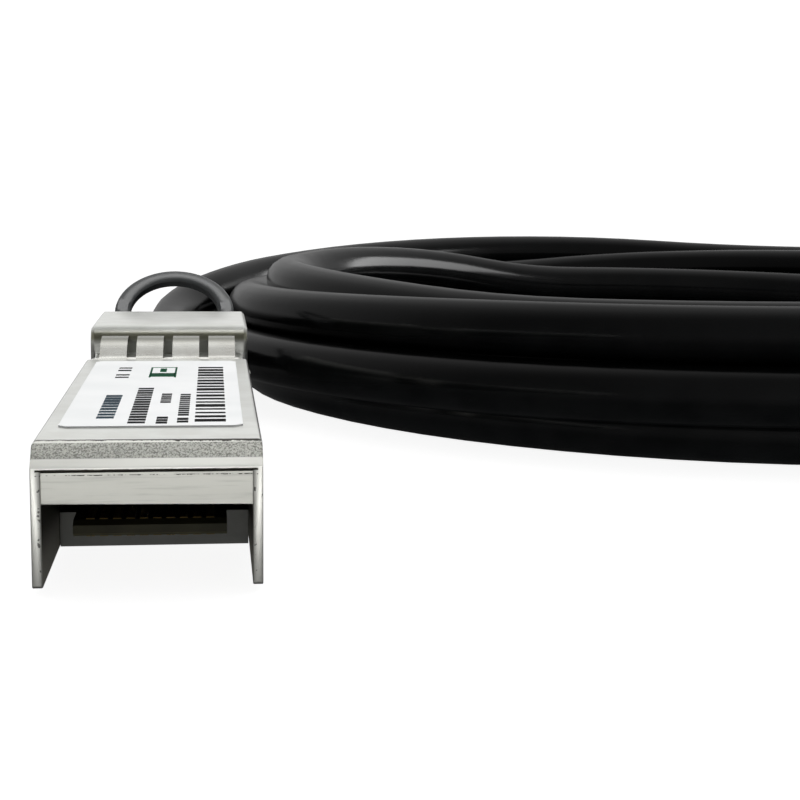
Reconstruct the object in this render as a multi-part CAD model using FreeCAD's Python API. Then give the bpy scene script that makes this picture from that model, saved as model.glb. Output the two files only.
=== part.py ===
import FreeCAD, Part
import math
import os

# Millimetres. +Y runs from the near plug's mouth to its cable, +X to the far plug, +Z up.
# The origin is under the middle of the near plug's mouth, on the surface that the cable lies on.

# Cage part of a plug, to the common small form-factor pluggable outline
body_width = 13.4
body_height = 8.5
stop_face = 47.5  # mouth to the face that stops against the cage
belly_lift = 0.5  # belly above the surface that the plug lies on
well_length = 10.3  # opening in the belly behind the mouth
skirt_wall = 0.6
roof_wall = 0.8
edge_round = 0.3

# Nose of the top shell
nose_chamfer = 1.36
nose_wall = 1.1
nose_wall_bottom = 4.93  # lower edge of the front wall above the belly
nose_lip = 0.2  # lip under the chamfer
nose_setback = 0.15  # front wall behind the lip
groove_height = 0.12  # groove between the lip and the front wall
groove_depth = 0.4

# Rear block
block_side = 0.15  # block wider than the cage part on each side
block_length = 14.8
block_roof = 1.9  # over the widest bore
block_brow = 1.6  # radius of the block's front top edge
block_bevel = 0.3
shell_gap = 0.05  # clearance between the two shells

# Circuit card
card_width = 9.2
card_thickness = 1.0
card_rise = 2.25  # underside above the belly
card_front = 3.2  # behind the mouth
card_tail = 7.5  # card ends this far before the stop face
card_bevel = 0.25
card_gap = 0.05
pad_count = 10
pad_pitch = 0.8
pad_width = 0.5
pad_length = 3.2
pad_thickness = 0.05
pad_inset = 0.6  # first pad behind the card's front edge
chip_size = (3.0, 4.4, 1.0)
chip_inset = 18.8  # middle of the chip behind the card's front edge
chip_standoff = 0.1
chip_leg = (0.8, 0.3, 0.4)
chip_leg_pitch = 1.1
chip_leg_count = 4
rib_width = 0.5
rib_from_edge = 0.3  # rib inside the card's long edge
rib_inset = (1.7, 4.0)  # ribs behind the well and before the card's end

# Tray of the bottom shell
tray_floor = 1.7
rail_width = 1.6

# Latch boss and the channel of the release slider
shoulder = 45.0  # latch shoulder from the mouth
boss_width = 2.6
boss_length = 2.6
boss_height = 0.45
boss_crest = 0.8  # flat length beside the shoulder
channel_width = 6.3
channel_lead = 1.1  # channel ahead of the boss
slot_low = 0.85
slot_lip = 0.65  # ledge on each side that the slider rests on
slot_web = 0.4  # between the slot and the widest bore

# Spring collar
collar_length = 6.84  # recess ahead of the stop face
collar_recess = 0.3
collar_gap = 0.04
collar_sheet = 0.2
collar_band = 1.2
collar_opening = 6.8  # gap of the collar across the channel
roof_fingers = 4
side_fingers = 2
finger_margin = 0.64  # outermost pitch inside the cage part's sides
finger_slot = 0.78  # between two fingers
finger_crest_back = 2.2  # crest ahead of the stop face
finger_overlap = 0.4
finger_tip_gap = 0.4  # tips from the stop face
finger_tip_drop = 0.2  # tips below the crest
roof_crest = 0.9  # crest above the cage part's outer faces
side_crest = 0.3

# Release slider, its spring and stop pin
slider_sheet = 0.5
slider_width = 6.0
slider_play = 0.125  # above and below the sheet in its slot
slider_neck = 1.2  # full width starts this far behind the shoulder
slider_travel = 2.5
tine_gap = 0.3  # tines from the channel's front
tine_width = 1.25
tine_base = 2.0
tine_crest = 0.4
slider_back_gap = 0.6  # arms behind the block
arm_width = 1.9
arm_inset = 0.65  # arms inside the block's sides
arm_drop = 2.9  # arms' ends below the block's top
crossbar = 1.5
window_width = 2.2
pin_inset = 5.3  # stop pin ahead of the block's end
pin_radius = 0.7
pin_reach = 0.7  # pressed depth above the slot
pin_below = 0.15  # pin's free end below the slider's sheet
pin_gap = 0.1  # stop pin from the window's rear edge at rest
press_gap = 0.02
spring_radius = 0.48
spring_wire = 0.22
spring_turns = 5
spring_sides = 8  # straight lengths in a turn
spring_closed = 3.3  # spring's room with the slider pulled
spring_gap = 0.06
spring_room = 0.12

# Pull tab
tab_inset = 0.3  # loop inside the slider's arms
tab_band = 1.5
tab_thickness = 1.2
tab_leg = 3.5
tab_root = 0.8
tab_tilt = 40.0
tab_bevel = 0.25
tab_back = 0.7  # start of the loop's legs behind the arms
tab_under = 0.9  # start of the loop's legs below the lugs' tops
lug_wall = 0.45  # plastic round the slider's arms
lug_back = 1.3
lug_grip = 2.4  # arms' length inside the lugs
lug_cap = 0.8  # over the arms' ends

# Screws and label
screw_edge = 1.55  # screws inside the block's sides
screw_inset_y = 4.5  # screws behind the stop face
screw_radius = 0.7
screw_head = 1.2
screw_head_height = 0.8
screw_sunk = 0.1
screw_cover = 1.8  # over the screws' ends
label_margin = 1.05  # bare strip on each side
label_front = 5.9
label_back = 1.96  # bare strip before the collar
label_thickness = 0.1
label_corner = 0.5

# Cable, ferrule and strain relief
cable_diameter = 5.2
ferrule_inset = 2.0  # behind the stop face
ferrule_wall = 0.5
flange_step = 0.5  # flanges of the ferrule and the sleeve above their necks
flange_width = 1.1
flange_inset = 4.1  # ferrule's flange before the block's end
sleeve_length = 13.7  # behind the block
sleeve_wall = 0.7
sleeve_bevel = 0.4
wire_radius = 0.45
wire_pitch = 1.4
wire_lap = 1.5  # wires over the card's end
wire_spread = 0.62

# Coil of the cable
coil_outer = 60.6
coil_width = 19.6  # across the turns
coil_height = 15.4
coil_side = 4.5  # coil from the near plug's axis
coil_back = 93.6  # coil's middle from the mouths
far_side = 3.0  # coil from the far plug's axis

# Places that several pieces share
half_width = body_width / 2
inner_half = half_width - skirt_wall
roof = belly_lift + body_height
block_width = body_width + 2 * block_side
block_end = stop_face + block_length
card_low = belly_lift + card_rise
card_high = card_low + card_thickness
card_end = stop_face - card_tail
slot_high = slot_low + slider_sheet + 2 * slider_play
cable_radius = cable_diameter / 2
ferrule_front = stop_face + ferrule_inset
ferrule_radius = cable_radius + ferrule_wall
flange_radius = ferrule_radius + flange_step
flange_at = block_end - flange_inset
cable_height = slot_high + slot_web + flange_radius  # cable's axis in the block, where the shells part
block_top = cable_height + flange_radius + block_roof
sleeve_start = flange_at + flange_width + shell_gap
sleeve_end = block_end + sleeve_length
collar_front = stop_face - collar_length
finger_pitch = (body_width - 2 * finger_margin) / roof_fingers
finger_width = finger_pitch - finger_slot
channel_front = shoulder - boss_length - channel_lead
sheet_low = slot_low + slider_play
sheet_high = sheet_low + slider_sheet
spring_height = (sheet_low + sheet_high) / 2
pin_at = block_end - pin_inset
window_front = pin_at - pin_radius - slider_travel - spring_closed
arm_front = block_end + slider_back_gap
arm_back = arm_front + slider_sheet
arm_outer = block_width / 2 - arm_inset
arm_inner = arm_outer - arm_width
arm_top = block_top - arm_drop
lug_high = arm_top + lug_cap
screw_x = block_width / 2 - screw_edge
screw_y = stop_face + screw_inset_y
screw_top = block_top - screw_cover
coil_inner = coil_outer - coil_width
coil_x = coil_side + coil_outer
far_x = coil_x + coil_outer + far_side
past = 1.0  # how far a cut runs past the face it opens
touch = 0.01  # places closer than this are the same

# Route points of the two leads, from the end of the strain relief to a point inside the coil
near_lead = [
    (0.0, sleeve_end, cable_height),
    (0.0, sleeve_end + 10.0, cable_height),
    (0.7, sleeve_end + 21.6, 6.9),
    (7.4, sleeve_end + 34.8, 9.2),
    (15.1, sleeve_end + 45.8, 10.7),
]
far_lead = [
    (far_x, sleeve_end, cable_height),
    (far_x, sleeve_end + 10.5, cable_height),
    (far_x - 1.1, sleeve_end + 22.0, 3.9),
    (far_x - 6.9, sleeve_end + 36.1, 2.8),
    (far_x - 13.3, sleeve_end + 46.2, 2.7),
]
bend_share = 0.45  # share of the shorter run that a bend takes up
lead_sides = 16  # of a lead's section

V = FreeCAD.Vector


def box(x0, x1, y0, y1, z0, z1):
    return Part.makeBox(x1 - x0, y1 - y0, z1 - z0, V(x0, y0, z0))


def rod(radius, y0, y1, x=0.0, z=cable_height):
    return Part.makeCylinder(radius, y1 - y0, V(x, y0, z), V(0, 1, 0))


def post(radius, x, y, z0, z1):
    return Part.makeCylinder(radius, z1 - z0, V(x, y, z0))


def side_profile(outline, x0, x1):
    corners = [V(x0, y, z) for y, z in outline]
    wire = Part.makePolygon(corners + corners[:1])
    return Part.Face(wire).extrude(V(x1 - x0, 0, 0))


def turned(outline):
    corners = [V(0, y, cable_height + r) for y, r in outline]
    wire = Part.makePolygon(corners + corners[:1])
    return Part.Face(wire).revolve(V(0, 0, cable_height), V(0, 1, 0), 360)


def edges_where(shape, test):
    return [edge for edge in shape.Edges if test(edge.CenterOfMass)]


def long_rounded(x0, x1, y0, y1, z0, z1, radius):
    block = box(x0, x1, y0, y1, z0, z1)
    middle = (y0 + y1) / 2
    return block.makeFillet(radius, edges_where(block, lambda c: abs(c.y - middle) < touch and (
        min(abs(c.x - x0), abs(c.x - x1)) < touch and min(abs(c.z - z0), abs(c.z - z1)) < touch)))


def tube(points, radius, name):
    # Straight runs joined by tangent arcs, each as large as its two runs allow
    corners = [V(*p) for p in points]
    edges = []
    radii = []
    start = corners[0]
    for before, corner, after in zip(corners, corners[1:], corners[2:]):
        back = before - corner
        on = after - corner
        reach = bend_share * min(back.Length, on.Length)
        half_turn = (math.pi - back.getAngle(on)) / 2
        radii.append(reach / math.tan(half_turn))
        back.normalize()
        on.normalize()
        inward = back + on
        inward.normalize()
        centre_distance = radii[-1] / math.cos(half_turn)
        arc_in = corner + back * reach
        arc_out = corner + on * reach
        arc_mid = corner + inward * (centre_distance - radii[-1])
        edges.append(Part.LineSegment(start, arc_in).toShape())
        edges.append(Part.Arc(arc_in, arc_mid, arc_out).toShape())
        start = arc_out
    edges.append(Part.LineSegment(start, corners[-1]).toShape())
    path = Part.Wire(edges)
    # The cable's section, a regular polygon round its circle
    along = corners[1] - corners[0]
    spoke = V(radius / math.cos(math.pi / lead_sides), 0, 0)
    turns = [FreeCAD.Rotation(along, 360.0 * side / lead_sides) for side in range(lead_sides)]
    section = [corners[0] + turn.multVec(spoke) for turn in turns]
    ring = Part.makePolygon(section + section[:1])
    solid = path.makePipeShell([ring], True, False)
    share = solid.Volume / (math.pi * radius ** 2 * path.Length)
    print(name, "bend radii", [round(r, 1) for r in radii])
    print(name, "length", round(path.Length, 1), "volume over section times length", round(share, 4))
    return solid


def collar_seat():
    # What the collar's recess leaves of the cage part
    inset = collar_recess
    return long_rounded(-half_width + inset, half_width - inset, collar_front, stop_face,
                        belly_lift + inset, roof - inset, edge_round)


def recess_cut():
    around = box(-half_width - past, half_width + past, collar_front, stop_face,
                 belly_lift - past, roof + past)
    return around.cut(collar_seat())


def cable_bore():
    # Bore of both block halves for the ferrule, the sleeve's flange and its neck
    bore = rod(ferrule_radius + shell_gap, stop_face, block_end + past)
    groove = rod(flange_radius + shell_gap, flange_at - shell_gap, sleeve_start + flange_width + shell_gap)
    return bore.fuse(groove)


def block_half(low, high):
    brow = min(block_brow, high - low)
    outline = [V(-block_width / 2, block_end, low), V(-block_width / 2, stop_face, low)]
    face_top = V(-block_width / 2, stop_face, high - brow)
    top_front = V(-block_width / 2, stop_face + brow, high)
    lean = brow * (1 - math.sqrt(0.5))
    middle = V(-block_width / 2, stop_face + lean, high - lean)
    top_back = V(-block_width / 2, block_end, high)
    edges = [
        Part.LineSegment(outline[0], outline[1]).toShape(),
        Part.LineSegment(outline[1], face_top).toShape(),
        Part.Arc(face_top, middle, top_front).toShape(),
        Part.LineSegment(top_front, top_back).toShape(),
        Part.LineSegment(top_back, outline[0]).toShape(),
    ]
    return Part.Face(Part.Wire(edges)).extrude(V(block_width, 0, 0))


def top_shell():
    cage = box(-half_width, half_width, 0, stop_face, belly_lift, roof)
    cage = cage.makeFillet(edge_round, edges_where(cage, lambda c: abs(c.x) > half_width - touch and (
        abs(c.z - roof) < touch)))
    slope = [(-past, roof - nose_chamfer - past), (nose_chamfer + past, roof + past), (-past, roof + past)]
    cage = cage.cut(side_profile(slope, -half_width - past, half_width + past))
    lip_low = roof - nose_chamfer - nose_lip
    wall_low = belly_lift + nose_wall_bottom
    cuts = [
        box(-inner_half, inner_half, nose_wall, stop_face, belly_lift - past, roof - roof_wall),
        box(-inner_half, inner_half, -past, nose_wall + past, belly_lift - past, wall_low),
        box(-inner_half, inner_half, -past, nose_setback, belly_lift, lip_low),
        box(-inner_half, inner_half, -past, groove_depth, lip_low - groove_height, lip_low),
        recess_cut(),
    ]
    cage = cage.cut(cuts)
    block = block_half(cable_height, block_top)
    side = block_width / 2 - touch
    blunt = edges_where(block, lambda c: abs(c.x) > side and c.z > cable_height + touch)
    blunt += edges_where(block, lambda c: abs(c.x) < touch and c.y > block_end - touch and (
        c.z > block_top - touch))
    block = block.makeChamfer(block_bevel, blunt)
    rib_outer = card_width / 2 - rib_from_edge
    rib_front = well_length + rib_inset[0]
    rib_back = card_end - rib_inset[1]
    ribs = [
        box(x, x + rib_width, rib_front, rib_back, card_high + card_gap, roof - roof_wall)
        for x in (-rib_outer, rib_outer - rib_width)
    ]
    shell = cage.fuse([block] + ribs)
    holes = [
        post(screw_radius + press_gap, side * screw_x, screw_y, 0, screw_top + press_gap)
        for side in (-1, 1)
    ]
    return shell.cut([cable_bore()] + holes).removeSplitter()


def bottom_shell():
    tray_half = inner_half - shell_gap
    tray = box(-tray_half, tray_half, well_length, stop_face + past, belly_lift, belly_lift + tray_floor)
    rails = [
        box(x, x + rail_width, well_length, card_end, belly_lift, card_low)
        for x in (-tray_half, tray_half - rail_width)
    ]
    block = box(-block_width / 2, block_width / 2, stop_face + shell_gap, block_end, 0, cable_height)
    side = block_width / 2 - touch
    block = block.makeChamfer(block_bevel, edges_where(block, lambda c: abs(c.x) > side and (
        c.z < cable_height - touch)))
    shell = tray.fuse(rails + [block])
    half_channel = channel_width / 2
    boss = [
        (shoulder, slot_high + past / 2),
        (shoulder, belly_lift - boss_height),
        (shoulder - boss_crest, belly_lift - boss_height),
        (shoulder - boss_length, belly_lift),
        (shoulder - boss_length, slot_high + past / 2),
    ]
    slot_open = half_channel - slot_lip
    pin_top = slot_high + pin_reach
    cuts = [
        recess_cut(),
        box(-half_channel, half_channel, channel_front, stop_face + past, belly_lift - past, slot_high),
        box(-half_channel, half_channel, stop_face, block_end + past, slot_low, slot_high),
        box(-slot_open, slot_open, stop_face, block_end + past, -past, slot_high),
        spring_pocket(),
        cable_bore(),
        post(pin_radius + press_gap, 0, pin_at, 0, pin_top),
    ]
    head_top = screw_sunk + screw_head_height
    for side in (-1, 1):
        cuts.append(post(screw_radius + shell_gap, side * screw_x, screw_y, -past, screw_top))
        cuts.append(post(screw_head + shell_gap, side * screw_x, screw_y, -past, head_top))
    shell = shell.cut(cuts)
    return shell.fuse(side_profile(boss, -boss_width / 2, boss_width / 2)).removeSplitter()


def spring_pocket():
    reach = spring_radius + spring_wire / 2 + spring_room
    return box(-reach, reach, window_front - spring_gap, pin_at, 0, spring_height + reach)


def circuit_card():
    outline = [
        (card_front, card_low + card_bevel),
        (card_front + 2 * card_bevel, card_low),
        (card_end, card_low),
        (card_end, card_high),
        (card_front + 2 * card_bevel, card_high),
        (card_front, card_high - card_bevel),
    ]
    return side_profile(outline, -card_width / 2, card_width / 2)


def contact_pads():
    front = card_front + pad_inset
    pads = []
    for low in (card_low - pad_thickness, card_high):
        for index in range(pad_count):
            x = (index - (pad_count - 1) / 2) * pad_pitch
            pads.append(box(x - pad_width / 2, x + pad_width / 2, front, front + pad_length,
                            low, low + pad_thickness))
    return Part.makeCompound(pads)


def memory_chip():
    width, length, height = chip_size
    reach, leg_width, leg_height = chip_leg
    low = card_high + chip_standoff
    chip_at = card_front + chip_inset
    body = box(-width / 2, width / 2, chip_at - length / 2, chip_at + length / 2, low, low + height)
    legs = []
    for index in range(chip_leg_count):
        y = chip_at + (index - (chip_leg_count - 1) / 2) * chip_leg_pitch
        legs.append(box(-width / 2 - reach, width / 2 + reach, y - leg_width / 2, y + leg_width / 2,
                        card_high, card_high + leg_height))
    return body.fuse(legs).removeSplitter()


def conductor_pairs():
    wires = []
    for index in range(4):
        inner_pair = index in (1, 2)
        x_card = (index - 1.5) * wire_pitch
        x_cable = wire_spread * (-1 if index < 2 else 1)
        z_cable = cable_height + wire_spread * (1 if inner_pair else -1)
        start = V(x_cable, ferrule_front - wire_radius / 2, z_cable)
        along = V(x_card, card_end - wire_lap, card_high + wire_radius + card_gap) - start
        wires.append(Part.makeCylinder(wire_radius, along.Length, start, along))
    return Part.makeCompound(wires)


def crimp_ferrule():
    return turned([
        (ferrule_front, cable_radius),
        (ferrule_front, ferrule_radius),
        (flange_at, ferrule_radius),
        (flange_at, flange_radius),
        (flange_at + flange_width, flange_radius),
        (flange_at + flange_width, cable_radius),
    ])


def cable_end():
    # Jacket inside the ferrule and the strain relief
    return rod(cable_radius - press_gap, ferrule_front, sleeve_end)


def strain_relief():
    neck_end = block_end + shell_gap
    flange_end = sleeve_start + flange_width
    return turned([
        (sleeve_start, cable_radius),
        (sleeve_start, flange_radius),
        (flange_end, flange_radius),
        (flange_end, ferrule_radius),
        (neck_end, ferrule_radius),
        (neck_end, cable_radius + sleeve_wall),
        (sleeve_end - sleeve_bevel, cable_radius + sleeve_wall),
        (sleeve_end, cable_radius + sleeve_wall - sleeve_bevel),
        (sleeve_end, cable_radius),
    ])


def finger(width, crest):
    # Outline along Y and outwards from the sheet's inner face
    start = collar_front + collar_band - finger_overlap
    tip = stop_face - finger_tip_gap
    tip_rise = crest - finger_tip_drop
    crest_at = stop_face - finger_crest_back
    side = -width / 2
    sheet = V(0, 0, collar_sheet)
    outer = [V(side, start, collar_sheet), V(side, crest_at, crest), V(side, tip, tip_rise)]
    inner = [outer[2] - sheet, outer[1] - sheet, outer[0] - sheet]
    edges = [
        Part.Arc(*outer).toShape(),
        Part.LineSegment(outer[2], inner[0]).toShape(),
        Part.Arc(*inner).toShape(),
        Part.LineSegment(inner[2], outer[0]).toShape(),
    ]
    return Part.Face(Part.Wire(edges)).extrude(V(width, 0, 0))


def placed(shape, turn, x, z):
    copy = shape.copy()
    copy.Placement = FreeCAD.Placement(V(x, 0, z), FreeCAD.Rotation(V(0, 1, 0), turn))
    return copy


def spring_collar():
    seat = collar_recess - collar_gap
    half = half_width - seat
    low = belly_lift + seat
    high = roof - seat
    band_end = collar_front + collar_band
    inner_round = edge_round + collar_gap
    sheet = collar_sheet
    start = collar_front + collar_gap
    outer = long_rounded(-half - sheet, half + sheet, start, band_end, low - sheet, high + sheet,
                         inner_round + sheet)
    hollow = long_rounded(-half, half, start - past, band_end + past, low, high, inner_round)
    opening = box(-collar_opening / 2, collar_opening / 2, start - past, band_end + past,
                  low - past, low + sheet)
    band = outer.cut([hollow, opening])
    rise = seat
    roof_finger = finger(finger_width, roof_crest + rise)
    side_finger = finger(finger_width, side_crest + rise)
    fingers = []
    for index in range(roof_fingers):
        fingers.append(placed(roof_finger, 0, (index - (roof_fingers - 1) / 2) * finger_pitch, high))
    middle = (low + high) / 2
    for index in range(side_fingers):
        z = middle + (index - (side_fingers - 1) / 2) * finger_pitch
        fingers.append(placed(side_finger, 90, half, z))
        fingers.append(placed(side_finger, -90, -half, z))
    belly_x = (collar_opening / 2 + half) / 2
    for x in (-belly_x, belly_x):
        fingers.append(placed(side_finger, 180, x, low))
    return band.fuse(fingers).removeSplitter()


def release_slider():
    half = slider_width / 2
    back = arm_front + crossbar
    plates = [box(-arm_outer, arm_outer, arm_front, back, sheet_low, sheet_high)]
    tine_tip = channel_front + tine_gap
    slider_front = shoulder + slider_neck
    crest = belly_lift - boss_height
    wedge = sheet_low - crest
    tip = [
        (tine_tip, sheet_low),
        (tine_tip + (tine_base - tine_crest - wedge), crest),
        (tine_tip + tine_base - wedge, crest),
        (tine_tip + tine_base, sheet_low),
        (tine_tip + tine_base, sheet_high),
        (tine_tip, sheet_high),
    ]
    for side in (-1, 1):
        tine = sorted((side * half, side * (half - tine_width)))
        plates.append(side_profile(tip, *tine))
        plates.append(box(*tine, tine_tip + tine_base, slider_front, sheet_low, sheet_high))
        arm = sorted((side * arm_inner, side * arm_outer))
        plates.append(box(*arm, arm_front, arm_back, sheet_low, arm_top))
    plate = box(-half, half, slider_front, back, sheet_low, sheet_high).fuse(plates)
    window_end = pin_at + pin_radius + pin_gap
    window = box(-window_width / 2, window_width / 2, window_front, window_end, 0, cable_height)
    return plate.cut(window).removeSplitter()


def return_spring():
    # A helix of flat-sided wire, in short straight lengths
    half_wire = spring_wire / 2
    start = window_front + spring_gap + half_wire
    length = pin_at - pin_radius - spring_gap - half_wire - start
    steps = spring_turns * spring_sides

    def section(step):
        turn = 2 * math.pi * step / spring_sides
        outward = V(math.cos(turn), 0, math.sin(turn))
        centre = V(0, start + length * step / steps, spring_height) + outward * spring_radius
        out = outward * half_wire
        across = V(0, half_wire, 0)
        return [centre + out, centre + across, centre - out, centre - across]

    def facet(*corners):
        return Part.Face(Part.makePolygon(corners + corners[:1]))

    rings = [section(step) for step in range(steps + 1)]
    facets = [facet(*rings[0]), facet(*rings[-1][::-1])]
    for ring, after in zip(rings, rings[1:]):
        for k in range(4):
            n = (k + 1) % 4
            facets.append(facet(ring[n], ring[k], after[k]))
            facets.append(facet(ring[n], after[k], after[n]))
    shell = Part.makeShell(facets)
    shell.sewShape()
    spring = Part.makeSolid(Part.Shell(shell.Faces))
    if spring.Volume < 0:
        spring.reverse()
    return spring


def stop_pin():
    return post(pin_radius, 0, pin_at, sheet_low - pin_below, slot_high + pin_reach)


def pull_tab():
    tab_outer = arm_outer - tab_inset
    inner = tab_outer - tab_band

    def loop_half(radius, turn):
        ends = [V(-turn * radius, -tab_root, 0), V(-turn * radius, tab_leg, 0)]
        ends += [V(0, tab_leg + radius, 0), V(turn * radius, tab_leg, 0), V(turn * radius, -tab_root, 0)]
        return ends

    outside = loop_half(tab_outer, 1)
    inside = loop_half(inner, -1)
    edges = []
    for side in (outside, inside):
        edges.append(Part.LineSegment(side[0], side[1]).toShape())
        edges.append(Part.Arc(side[1], side[2], side[3]).toShape())
        edges.append(Part.LineSegment(side[3], side[4]).toShape())
    edges.insert(3, Part.LineSegment(outside[4], inside[0]).toShape())
    edges.append(Part.LineSegment(inside[4], outside[0]).toShape())
    loop = Part.Face(Part.Wire(edges)).extrude(V(0, 0, tab_thickness))
    loop = loop.makeChamfer(tab_bevel, edges_where(loop, lambda c: c.y > -tab_root + touch and (
        min(abs(c.z), abs(c.z - tab_thickness)) < touch)))
    loop.translate(V(0, 0, -tab_thickness / 2))
    loop.rotate(V(0, 0, 0), V(1, 0, 0), tab_tilt)
    loop.translate(V(0, arm_back + tab_back, lug_high - tab_under))
    lugs = []
    pockets = []
    for side in (-1, 1):
        across = sorted((side * (arm_inner - lug_wall), side * (arm_outer + lug_wall)))
        lug = box(*across, arm_front - lug_wall, arm_back + lug_back, arm_top - lug_grip, lug_high)
        lugs.append(lug.makeChamfer(tab_bevel, lug.Edges))
        across = sorted((side * (arm_inner - press_gap), side * (arm_outer + press_gap)))
        pockets.append(box(*across, arm_front - press_gap, arm_back + press_gap, 0, arm_top + press_gap))
    return loop.fuse(lugs).cut(pockets).removeSplitter()


def shell_screws():
    screws = []
    for side in (-1, 1):
        x = side * screw_x
        head = post(screw_head, x, screw_y, screw_sunk, screw_sunk + screw_head_height)
        shank = post(screw_radius, x, screw_y, screw_sunk + screw_head_height, screw_top)
        screws.append(head.fuse(shank).removeSplitter())
    return Part.makeCompound(screws)


def label():
    half = half_width - label_margin
    plate = box(-half, half, label_front, collar_front - label_back, roof, roof + label_thickness)
    middle = roof + label_thickness / 2
    return plate.makeChamfer(label_corner, edges_where(plate, lambda c: abs(c.z - middle) < touch))


def cable_coil():
    # Outer shape of the turns, with corners as blunt as the cable is round
    lean = cable_radius * (2 - math.sqrt(2))
    corners = [
        V(coil_inner, 0, lean), V(coil_inner, 0, coil_height - lean),
        V(coil_inner + lean, 0, coil_height), V(coil_outer - lean, 0, coil_height),
        V(coil_outer, 0, coil_height - lean), V(coil_outer, 0, lean),
        V(coil_outer - lean, 0, 0), V(coil_inner + lean, 0, 0),
    ]
    section = Part.Face(Part.makePolygon(corners + corners[:1]))
    ring = section.revolve(V(0, 0, 0), V(0, 0, 1), 360)
    ring.translate(V(coil_x, coil_back, 0))
    return ring


plug_pieces = [
    top_shell, bottom_shell, circuit_card, contact_pads, memory_chip, conductor_pairs, crimp_ferrule,
    cable_end, strain_relief, spring_collar, release_slider, return_spring, stop_pin, pull_tab,
    shell_screws, label,
]

os.makedirs("parts", exist_ok=True)
for make in plug_pieces:
    near = make()
    far = near.copy()
    far.translate(V(far_x, 0, 0))
    near.exportStep("parts/near_" + make.__name__ + ".step")
    far.exportStep("parts/far_" + make.__name__ + ".step")
    print(make.__name__, near.isValid(), len(near.Solids), round(near.Volume, 2))
tube(near_lead, cable_radius, "near lead").exportStep("parts/near_lead.step")
tube(far_lead, cable_radius, "far lead").exportStep("parts/far_lead.step")
cable_coil().exportStep("parts/cable_coil.step")
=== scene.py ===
import math

import bpy
import bmesh
import numpy as np
from mathutils import Matrix, Vector


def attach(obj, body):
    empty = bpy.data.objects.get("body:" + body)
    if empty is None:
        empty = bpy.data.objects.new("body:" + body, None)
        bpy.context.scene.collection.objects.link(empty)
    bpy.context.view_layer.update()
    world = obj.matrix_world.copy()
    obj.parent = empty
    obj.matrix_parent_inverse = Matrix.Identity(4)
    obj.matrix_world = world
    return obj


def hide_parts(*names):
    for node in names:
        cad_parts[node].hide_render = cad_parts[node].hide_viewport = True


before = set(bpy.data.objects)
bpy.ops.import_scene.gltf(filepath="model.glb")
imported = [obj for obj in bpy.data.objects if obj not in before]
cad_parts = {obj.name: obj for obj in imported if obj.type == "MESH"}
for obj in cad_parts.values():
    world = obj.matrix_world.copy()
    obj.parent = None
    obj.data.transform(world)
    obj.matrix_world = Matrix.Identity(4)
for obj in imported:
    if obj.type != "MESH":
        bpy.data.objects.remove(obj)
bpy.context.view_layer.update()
plugPitch = 0.1287  # the far plug's middle from the near one's
plugShift = {"near": Vector((0.0, 0.0, 0.0)), "far": Vector((plugPitch, 0.0, 0.0))}
scene = bpy.context.scene
scene.view_settings.view_transform = "Standard"
mm = 0.001


# Shader helpers: a socket with arithmetic, a tree that makes nodes, and a material
class Wire:
    def __init__(self, graph, socket):
        self.graph = graph
        self.socket = socket

    def maths(self, operation, first, second):
        return self.graph.node("ShaderNodeMath", {"operation": operation}, {0: first, 1: second})

    def __add__(self, other):
        return self.maths("ADD", self, other)

    __radd__ = __add__

    def __sub__(self, other):
        return self.maths("SUBTRACT", self, other)

    def __rsub__(self, other):
        return self.maths("SUBTRACT", other, self)

    def __mul__(self, other):
        return self.maths("MULTIPLY", self, other)

    __rmul__ = __mul__

    def __gt__(self, other):
        return self.maths("GREATER_THAN", self, other)

    def __lt__(self, other):
        return self.maths("LESS_THAN", self, other)

    def size(self):
        return self.maths("ABSOLUTE", self, 0.0)

    def atMost(self, other):
        return self.maths("MINIMUM", self, other)

    def wave(self):
        return self.maths("SINE", self, 0.0)


class Graph:
    def __init__(self, tree):
        self.tree = tree

    def feed(self, socket, value):
        if isinstance(value, Wire):
            self.tree.links.new(value.socket, socket)
        else:
            socket.default_value = value

    def node(self, kind, settings=None, sockets=None, out=0):
        made = self.tree.nodes.new(kind)
        for key, value in (settings or {}).items():
            setattr(made, key, value)
        for key, value in (sockets or {}).items():
            self.feed(made.inputs[key], value)
        return Wire(self, made.outputs[out])

    def axes(self, vector):
        apart = self.node("ShaderNodeSeparateXYZ", None, {0: vector})
        return [Wire(self, socket) for socket in apart.socket.node.outputs]

    def between(self, value, low, high, first=0.0, last=1.0):
        return self.node("ShaderNodeMapRange", {"interpolation_type": "SMOOTHSTEP"},
                         {"Value": value, "From Min": low, "From Max": high, "To Min": first, "To Max": last})

    def band(self, value, riseFrom, riseTo, fallFrom, fallTo):
        return self.between(value, riseFrom, riseTo) * self.between(value, fallFrom, fallTo, 1.0, 0.0)

    def inRange(self, value, low, high):
        return (value > low) * (value < high)


class Paint(Graph):
    def __init__(self, name):
        self.material = bpy.data.materials.new(name)
        self.material.use_nodes = True
        self.surface = self.material.node_tree.nodes["Principled BSDF"]
        super().__init__(self.material.node_tree)

    def where(self):
        return self.node("ShaderNodeTexCoord", out=3)  # Object coordinates

    def stretched(self, vector, scale):
        return self.node("ShaderNodeMapping", None, {"Vector": vector, "Scale": scale})

    def noise(self, vector, scale, detail=2.0, rough=0.5):
        return self.node("ShaderNodeTexNoise", None,
                         {"Vector": vector, "Scale": scale, "Detail": detail, "Roughness": rough})

    # sockets 6 and 7 and output 2 of a Mix node are its colours
    def blend(self, mask, first, second):
        return self.node("ShaderNodeMix", {"data_type": "RGBA"}, {0: mask, 6: first, 7: second}, out=2)

    def bump(self, height, strength, distance):
        return self.node("ShaderNodeBump", None,
                         {"Height": height, "Strength": strength, "Distance": distance})

    def finish(self, **sockets):
        for name, value in sockets.items():
            self.feed(self.surface.inputs[name.replace("_", " ")], value)
        return self.material


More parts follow.
